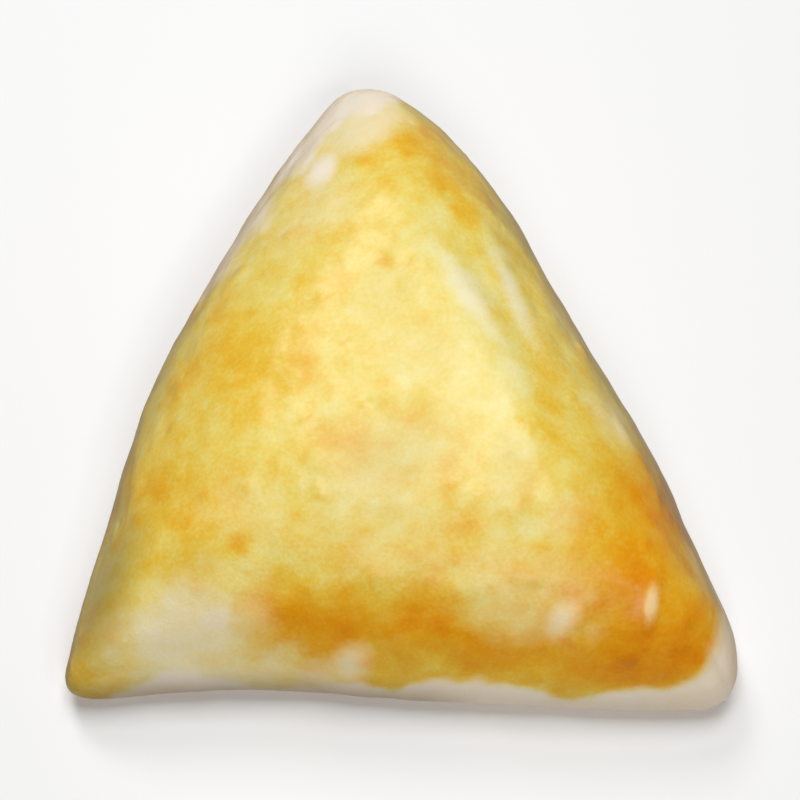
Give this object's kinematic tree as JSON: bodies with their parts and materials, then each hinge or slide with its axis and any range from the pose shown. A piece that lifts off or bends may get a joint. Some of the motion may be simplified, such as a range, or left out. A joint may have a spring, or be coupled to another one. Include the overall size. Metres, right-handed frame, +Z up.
{
  "type": "sfiha",
  "caption": "Closed triangular sfiha: soft baked dough folded round a filling, with a rounded rim, a domed smooth top and a flat underside.",
  "frame": {"origin": "on the table, under the middle of the outline's box", "axes": "+Z up from the flat underside to the crown, -Y towards the long front edge, +Y towards the back corner, +X towards the right corner"},
  "size_m": [0.1, 0.1039, 0.0305],
  "materials": {
    "baked_dough": "egg-washed wheat dough, golden and satin on top, pale and floury at the wall and the tips"
  },
  "bodies": {
    "root": {"sfiha": "baked_dough"}
  },
  "joints": []
}
